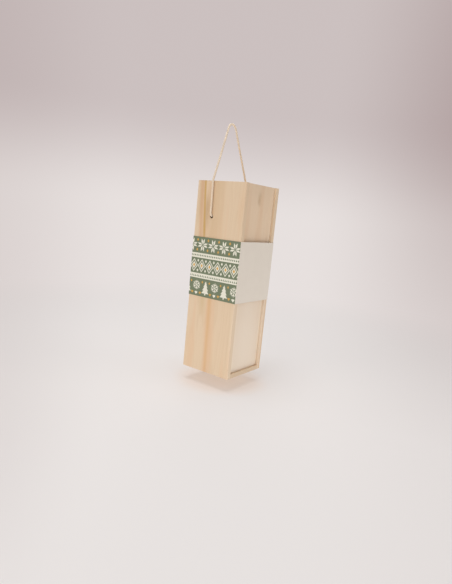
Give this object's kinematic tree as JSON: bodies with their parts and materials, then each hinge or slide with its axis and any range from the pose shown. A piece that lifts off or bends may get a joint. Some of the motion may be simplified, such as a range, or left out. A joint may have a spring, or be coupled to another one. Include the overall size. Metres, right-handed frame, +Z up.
{
  "type": "wooden wine box",
  "caption": "Tall single-bottle box of pale softwood with a sliding lid, a printed card sleeve round its middle and a knotted rope handle.",
  "frame": {"origin": "middle of the box's base, on the surface that it stands on", "axes": "+Z up along the box's length, -Y out of the sliding lid's face, +X towards the right side board seen from the front"},
  "size_m": [0.1192, 0.1124, 0.4722],
  "materials": {
    "pine_board": "sanded pale softwood, unvarnished",
    "pine_lid": "sanded pale softwood, unvarnished",
    "printed_card": "uncoated card printed in matt green, cream and ochre, plain off-white at the front",
    "cotton_rope": "twisted undyed cotton"
  },
  "bodies": {
    "box": {"left_side": "pine_board", "right_side": "pine_board", "back_panel": "pine_board", "top_panel": "pine_board", "bottom_panel": "pine_board", "rope_handle": "cotton_rope", "rope_knot_left": "cotton_rope", "rope_knot_right": "cotton_rope"},
    "lid": {"sliding_lid": "pine_lid"},
    "sleeve": {"card_sleeve": "printed_card"}
  },
  "joints": [
    {"name": "lid_slide", "type": "slide", "parent": "box", "child": "lid", "axis": [0, 0, 1], "range_m": [0, 0.36]},
    {"name": "sleeve_slide", "type": "slide", "parent": "box", "child": "sleeve", "axis": [0, 0, -1], "range_m": [-0.032, 0.258]}
  ]
}
